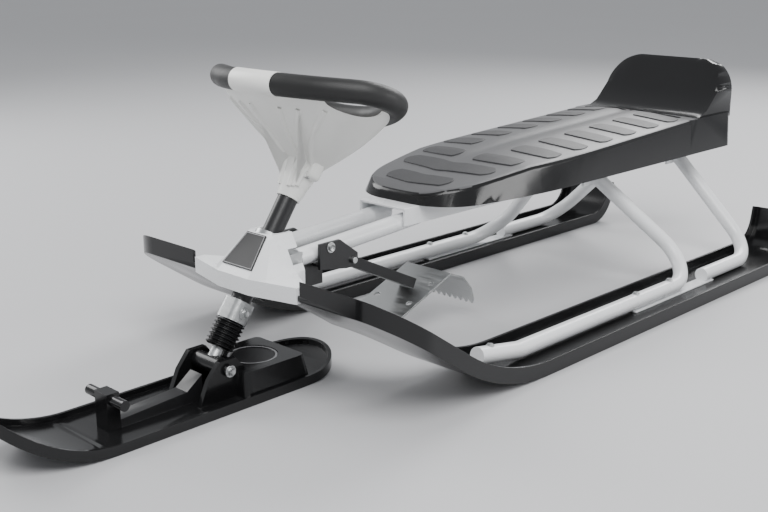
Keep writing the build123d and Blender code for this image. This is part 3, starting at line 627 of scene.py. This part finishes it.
def strip(name, body, slot, rows, width, height):
    """A rounded bead along rows of surface points and normals.

    Its underside is one face, so where the surface is hollow some of that face's triangles span the
    hollow and show as thin webs in front of it.
    """
    count = len(rows) - 1
    shape = bmesh.new()
    bmesh.ops.create_grid(shape, x_segments=4, y_segments=count, size=1.0)
    for vertex in shape.verts:
        index = round((vertex.co.y + 1.0) / 2.0 * count)
        place, normal = rows[index]
        ahead = rows[min(index + 1, count)][0] - rows[max(index - 1, 0)][0]
        across = ahead.cross(normal).normalized()
        side = vertex.co.x
        rise = height * math.sqrt(max(0.0, 1.0 - side * side)) - height * BEAD_SINK
        vertex.co = place + across * (side * width / 2.0) + normal * rise
    bmesh.ops.recalc_face_normals(shape, faces=shape.faces)
    for vertex in add_skirt(shape):
        nearest = min(rows, key=lambda row: (row[0] - vertex.co).length)
        vertex.co -= nearest[1] * height * BEAD_FOOT
    close_up(shape)
    add_shape(name, shape, body, slot, SOFT_ANGLE)


class SLED_OT_finish_frame(bpy.types.Operator):
    """Finish the coated steel frame, the head, its bare badge and the strap screws"""

    bl_idname = "sled.finish_frame"
    bl_label = "Finish frame"

    def execute(self, context):
        for node in WHITE_STEEL + ("head_sleeve",):
            finish_node(node)
        self.finish_badge()
        self.screw_straps()
        return {"FINISHED"}

    def finish_badge(self):
        """The badge plate, bare, with a thin pale line round its face."""
        shape = merged_copy("badge_plate")
        face = max(shape.faces, key=lambda item: item.calc_area() * max(0.0, item.normal.z))
        bmesh.ops.inset_region(shape, faces=[face], thickness=BADGE_MARGIN, depth=0.0)
        line = bmesh.ops.inset_region(shape, faces=[face], thickness=BADGE_LINE, depth=0.0)
        for item in line["faces"]:
            item.material_index = 1
        bmesh.ops.inset_region(shape, faces=[face], thickness=BADGE_STEP, depth=-BADGE_SINK)
        piece = replace_node("badge_plate", shape, ("badge", "badge_line"))
        round_edges(piece, FINE_EDGE)

    def screw_straps(self):
        """The screws that hold the legs' straps and feet in the runners."""
        for side, word in SIDES:
            surface = node_surface("front_leg_" + word)
            for y in STRAP_SCREW_ROWS:
                spot, normal = touch(surface, (side * STRAP_SCREW_X, y, STRAP_SCREW_ABOVE), DOWN)
                name = "strap_screw_%s_%d" % (word, round((y + 1.0) * 1000))
                screw(name, "sled", spot, normal, STRAP_SCREW_RADIUS, STRAP_SCREW_HEIGHT)


class SLED_OT_finish_runners(bpy.types.Operator):
    """Finish the moulded runners"""

    bl_idname = "sled.finish_runners"
    bl_label = "Finish runners"

    def execute(self, context):
        for node in ("runner_left", "runner_right"):
            finish_node(node)
        return {"FINISHED"}


class SLED_OT_finish_seat(bpy.types.Operator):
    """Finish the seat: its crowned top, rounded shoulder and tread pads"""

    bl_idname = "sled.finish_seat"
    bl_label = "Finish seat"

    def execute(self, context):
        self.finish_shell()
        self.lay_pads()
        return {"FINISHED"}

    def top(self, y):
        """Height of the seat's top line."""
        for start, end in zip(SEAT_TOP, SEAT_TOP[1:]):
            if y <= end[0]:
                share = (y - start[0]) / (end[0] - start[0])
                return start[1] + share * (end[1] - start[1])
        return SEAT_TOP[-1][1]

    def crown(self, x, y):
        """How far the top rises over its edges."""
        run_in = max(0.0, (y - CROWN_START) / CROWN_RUN_IN)
        run_out = max(0.0, (CROWN_END - y) / CROWN_RUN_OUT)
        bulge = SEAT_CROWN * max(0.0, 1.0 - (x / SEAT_HALF_WIDTH) ** 2)
        groove = SEAT_GROOVE * math.exp(-((x / GROOVE_HALF_WIDTH) ** 4))
        return min(1.0, run_in, run_out) * (bulge - groove)

    def shoulder_edges(self, shape):
        """The sharp edges round the top, as far back as the backrest."""
        edges = []
        for edge in shape.edges:
            middle = (edge.verts[0].co + edge.verts[1].co) / 2.0
            level = abs(middle.z - self.top(middle.y)) < SHOULDER_LEVEL
            if level and middle.y < SHOULDER_END and len(edge.link_faces) == 2:
                if edge.calc_face_angle() > SHOULDER_LEAST_ANGLE:
                    edges.append(edge)
        return edges

    def finish_shell(self):
        """The shell: shoulder rounded, top crowned with a groove along the middle, its upward faces painted
        lighter grey as painted light.
        """
        shape = merged_copy("seat_shell")
        for y in BACKREST_CUTS:
            cut_through(shape, (0.0, y, 0.0), (0.0, 1.0, 0.0))
        bmesh.ops.bevel(
            shape,
            geom=self.shoulder_edges(shape),
            offset=SEAT_SHOULDER,
            offset_type="OFFSET",
            segments=5,
            profile=0.5,
            affect="EDGES",
            clamp_overlap=True,
            material=-1,
        )
        for x in CUTS_ACROSS:
            cut_through(shape, (x, 0.0, 0.0), (1.0, 0.0, 0.0))
        for y in CUTS_ALONG:
            cut_through(shape, (0.0, y, 0.0), (0.0, 1.0, 0.0))
        for vertex in shape.verts:
            x, y, z = vertex.co
            share = min(1.0, max(0.0, (z - LIFT_START) / LIFT_HEIGHT))
            if z < self.top(y) + LIFT_MARGIN:
                vertex.co.z += share * self.crown(x, y)
        shape.normal_update()
        # Painted light: the upward faces of the top take a lighter grey copy of the black plastic
        for face in shape.faces:
            middle = face.calc_center_median()
            level = middle.z > self.top(middle.y) - PAINTED_LIGHT_LEVEL
            if level and middle.y < PAINTED_LIGHT_END and face.normal.z > PAINTED_LIGHT_LEAST_UP:
                face.material_index = 1
        piece = replace_node("seat_shell", shape, ("black_plastic", "seat_skin"))
        weighted = piece.modifiers.new("Weighted normals", "WEIGHTED_NORMAL")
        weighted.keep_sharp = True

    def lay_pads(self):
        """The tread pads: bars across the nose, pairs along the sides and two plain black bars before the
        backrest, painted shade for its recess.
        """
        pads = list(NOSE_PADS)
        for x, y, half_width, half_length in PAIRED_PADS:
            pads += [(side * x, y, half_width, half_length) for side, _ in SIDES]
        for index, pad in enumerate(pads):
            self.lay_pad("seat_pad_%02d" % index, *pad)

    def lay_pad(self, name, x, y, half_width, half_length):
        """One round-cornered pad that follows the seat's crown and sweeps back at its outer end."""
        shape = bmesh.new()
        bmesh.ops.create_grid(shape, x_segments=14, y_segments=6, size=1.0)
        for vertex in shape.verts:
            u, v = vertex.co.x, vertex.co.y
            px = x + half_width * u * math.sqrt(1.0 - PAD_ROUNDNESS * v * v)
            py = y + half_length * v * math.sqrt(1.0 - PAD_ROUNDNESS * u * u) + PAD_SWEEP * (abs(px) - abs(x))
            rise = PAD_RISE - PAD_TILT * v
            vertex.co = (px, py, self.top(py) + self.crown(px, py) + rise)
        bmesh.ops.translate(shape, verts=add_skirt(shape), vec=(0.0, 0.0, -PAD_DEPTH))
        close_up(shape)
        # Pads from here back are plain black bars, painted shade for the recess before the backrest
        finish = "pad_skin" if y < SHADE_BARS_START else "black_plastic"
        piece = add_shape(name, shape, "sled", "black_plastic", PAD_ANGLE, (), (finish,))
        round_edges(piece, PAD_EDGE, SOFT_ANGLE)


class SLED_OT_finish_steering(bpy.types.Operator):
    """Finish the steering wheel, column, fork and strut"""

    bl_idname = "sled.finish_steering"
    bl_label = "Finish steering"

    def execute(self, context):
        for node in BODY_OF:
            if BODY_OF[node] == "steering" and node != "strut_rod":
                finish_node(node)
        self.finish_strut_rod()
        self.wrap_marker()
        self.fit_pinch()
        self.lay_folds()
        bolt_pair(*FORK_BOLTS)
        return {"FINISHED"}

    def finish_strut_rod(self):
        """The strut's rod, bright at its collar and black at its foot."""
        shape = merged_copy("strut_rod")
        low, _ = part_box("strut_rod")
        for face in shape.faces:
            if face.calc_center_median().z < low[2] + ROD_FOOT:
                face.material_index = 1
        piece = replace_node("strut_rod", shape, ("zinc", "black_plastic"))
        round_edges(piece, ROD_EDGE)

    def wrap_marker(self):
        """The pale sleeve that marks the front of the rim."""
        shape = merged_copy("wheel_rim")
        low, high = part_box("wheel_rim")
        for side, _ in SIDES:
            cut_through(shape, (side * MARKER_HALF_WIDTH, 0.0, 0.0), (side, 0.0, 0.0), clear_outer=True)
        middle = (low[1] + high[1]) / 2.0
        rear = [vertex for vertex in shape.verts if vertex.co.y > middle]
        bmesh.ops.delete(shape, geom=rear, context="VERTS")
        shape.normal_update()
        for vertex in shape.verts:
            vertex.co += vertex.normal * MARKER_LIFT
        close_up(shape)
        piece = add_shape("rim_marker", shape, "steering", "white_plastic", SOFT_ANGLE)
        round_edges(piece, FINE_EDGE, SOFT_ANGLE)

    def fit_pinch(self):
        """The hub's pinch lug and its screw."""
        size, place, rounding = PINCH_LUG_SIZE, PINCH_LUG_PLACE, PINCH_LUG_ROUNDING
        rounded_block("pinch_lug", "steering", "white_plastic", size, place, STEERING_AXIS, rounding)
        spot, aim = Vector(PINCH_SCREW_PLACE), Vector(PINCH_SCREW_AIM).normalized()
        screw("pinch_screw", "steering", spot, aim, PINCH_SCREW_RADIUS, PINCH_SCREW_HEIGHT)

    def lay_folds(self):
        """The folds that run up the hub's bowl and spread to the rim."""
        surface = node_surface("wheel_hub")
        for side, word in SIDES:
            for index, (foot, head) in enumerate(HUB_FOLDS):
                rows = []
                for step in range(FOLD_STEPS + 1):
                    share = step / FOLD_STEPS
                    x = side * (foot + (head - foot) * share ** FOLD_FLARE)
                    z = FOLD_FOOT + FOLD_HEIGHT * share
                    start = Vector((x, FOLD_RAY_START, z))
                    place, normal, _, _ = surface.ray_cast(start, Vector((0.0, 1.0, 0.0)))
                    if place is not None:
                        rows.append((place, normal if normal.y < 0.0 else -normal))
                name = "hub_fold_%s_%d" % (word, index)
                strip(name, "steering", "white_plastic", rows, FOLD_WIDTH, FOLD_RISE)


class SLED_OT_finish_ski(bpy.types.Operator):
    """Finish the ski, its pin, tow bracket and bare round plate"""

    bl_idname = "sled.finish_ski"
    bl_label = "Finish ski"

    def execute(self, context):
        for node in BODY_OF:
            if BODY_OF[node] == "ski" and node != "ski":
                finish_node(node)
        self.finish_blade()
        self.lay_plate()
        bolt_pair(*PIVOT_BOLTS)
        return {"FINISHED"}

    def finish_blade(self):
        """The ski itself, its spine duller where the strut's foot rubs it."""
        shape = merged_copy("ski")
        for face in shape.faces:
            middle = face.calc_center_median()
            if abs(middle.x) < SPINE_HALF_WIDTH and middle.y > SPINE_FRONT and middle.z > SPINE_LOW:
                face.material_index = 1
        piece = replace_node("ski", shape, ("black_plastic", "black_paint"))
        round_edges(piece, edge_radius())

    def lay_plate(self):
        """A bare round plate in the ski's recess, with a pale raised ring."""
        spot, normal = touch(node_surface("ski"), PLATE_ABOVE, DOWN)
        shape = bmesh.new()
        bmesh.ops.create_circle(shape, cap_ends=True, segments=96, radius=PLATE_RADIUS)
        made = bmesh.ops.extrude_face_region(shape, geom=list(shape.faces))
        top = [item for item in made["geom"] if isinstance(item, bmesh.types.BMFace)][0]
        bmesh.ops.translate(shape, verts=top.verts, vec=(0.0, 0.0, PLATE_THICKNESS))
        ring = bmesh.ops.inset_region(shape, faces=[top], thickness=PLATE_RING, depth=0.0)
        for item in ring["faces"]:
            item.material_index = 1
        bmesh.ops.inset_region(shape, faces=[top], thickness=PLATE_STEP, depth=-PLATE_STEP)
        bmesh.ops.recalc_face_normals(shape, faces=shape.faces)
        shape.transform(facing(spot, normal))
        piece = add_shape("ski_plate", shape, "ski", "badge", NODE_ANGLE, (), ("badge", "badge_line"))
        round_edges(piece, PLATE_EDGE)


class SLED_OT_finish_brake(bpy.types.Operator):
    """Finish the brake, its bracket and their bolts"""

    bl_idname = "sled.finish_brake"
    bl_label = "Finish brake"

    def execute(self, context):
        for node in ("brake_bracket", "brake_pin", "brake_arm", "brake_blade"):
            finish_node(node)
        bolt_pair(*EAR_BOLTS)
        return {"FINISHED"}


class SLED_OT_set_stage(bpy.types.Operator):
    """Lay the floor, hang the lights and set the camera"""

    bl_idname = "sled.set_stage"
    bl_label = "Set stage"

    def execute(self, context):
        settings = context.scene.sled_stage
        self.lay_floor(settings)
        self.hang_lights(settings)
        self.set_camera(settings)
        return {"FINISHED"}

    def lay_floor(self, settings):
        """A wide flat floor with a faint clouding."""
        shape = bmesh.new()
        bmesh.ops.create_circle(shape, cap_ends=True, segments=96, radius=FLOOR_RADIUS)
        mesh = bpy.data.meshes.new("floor")
        shape.to_mesh(mesh)
        shape.free()
        floor = bpy.data.objects.new("floor", mesh)
        bpy.context.scene.collection.objects.link(floor)
        material, tree, shader = new_material("floor_paint")
        cloud = object_pattern(tree, "ShaderNodeTexNoise", scale=1.2, detail=2.0)
        colour = tint(tree, cloud.outputs["Fac"], tuple(settings.floor_colour), change=0.015)
        tree.links.new(colour, shader.inputs["Base Color"])
        shader.inputs["Roughness"].default_value = 0.6
        mesh.materials.append(material)

    def hang_lights(self, settings):
        """Large soft lights from above, the side and behind."""
        for name, place, target, size, share in LAMPS:
            light = bpy.data.lights.new(name, "AREA")
            light.shape = "DISK"
            light.size = size
            light.energy = settings.key_power * share
            lamp = bpy.data.objects.new(name, light)
            lamp.location = place
            aim = Vector(target) - Vector(place)
            lamp.rotation_euler = aim.to_track_quat("-Z", "Y").to_euler()
            bpy.context.scene.collection.objects.link(lamp)
        world = bpy.data.worlds.new("studio")
        world.use_nodes = True
        sky = world.node_tree.nodes["Background"]
        sky.inputs["Color"].default_value = SKY_COLOUR
        sky.inputs["Strength"].default_value = SKY_STRENGTH
        bpy.context.scene.world = world

    def set_camera(self, settings):
        """The camera at the photograph's place and angle."""
        lens = bpy.data.cameras.new("camera")
        lens.lens = settings.lens
        lens.sensor_width = 36.0
        lens.clip_start = 0.05
        lens.clip_end = 60.0
        camera = bpy.data.objects.new("camera", lens)
        camera.location = settings.camera_place
        turn = math.radians(settings.camera_azimuth)
        drop = math.radians(settings.camera_elevation)
        back = Vector((math.sin(turn) * math.cos(drop), -math.cos(turn) * math.cos(drop), math.sin(drop)))
        camera.rotation_euler = (-back).to_track_quat("-Z", "Y").to_euler()
        bpy.context.scene.collection.objects.link(camera)
        bpy.context.scene.camera = camera


class SLED_PT_panel(bpy.types.Panel):
    """Sled finishes and stage"""

    bl_label = "Sled"
    bl_idname = "SLED_PT_panel"
    bl_space_type = "VIEW_3D"
    bl_region_type = "UI"
    bl_category = "Sled"

    def draw(self, context):
        layout = self.layout
        for settings in (context.scene.sled_finish, context.scene.sled_stage):
            column = layout.column(align=True)
            for name in settings.__annotations__:
                column.prop(settings, name)
        for operator in OPERATORS:
            layout.operator(operator.bl_idname)


OPERATORS = (
    SLED_OT_finish_frame,
    SLED_OT_finish_runners,
    SLED_OT_finish_seat,
    SLED_OT_finish_steering,
    SLED_OT_finish_ski,
    SLED_OT_finish_brake,
    SLED_OT_set_stage,
)
CLASSES = (SledFinishSettings, SledStageSettings) + OPERATORS + (SLED_PT_panel,)


def register():
    """Registers the classes and their settings on the scene."""
    for item in CLASSES:
        bpy.utils.register_class(item)
    bpy.types.Scene.sled_finish = bpy.props.PointerProperty(type=SledFinishSettings)
    bpy.types.Scene.sled_stage = bpy.props.PointerProperty(type=SledStageSettings)


def unregister():
    """Removes the settings and classes."""
    del bpy.types.Scene.sled_stage
    del bpy.types.Scene.sled_finish
    for item in reversed(CLASSES):
        bpy.utils.unregister_class(item)


def main():
    """Builds the whole scene."""
    register()
    for operator in OPERATORS:
        group, name = operator.bl_idname.split(".")
        getattr(getattr(bpy.ops, group), name)()


if __name__ == "__main__":
    main()
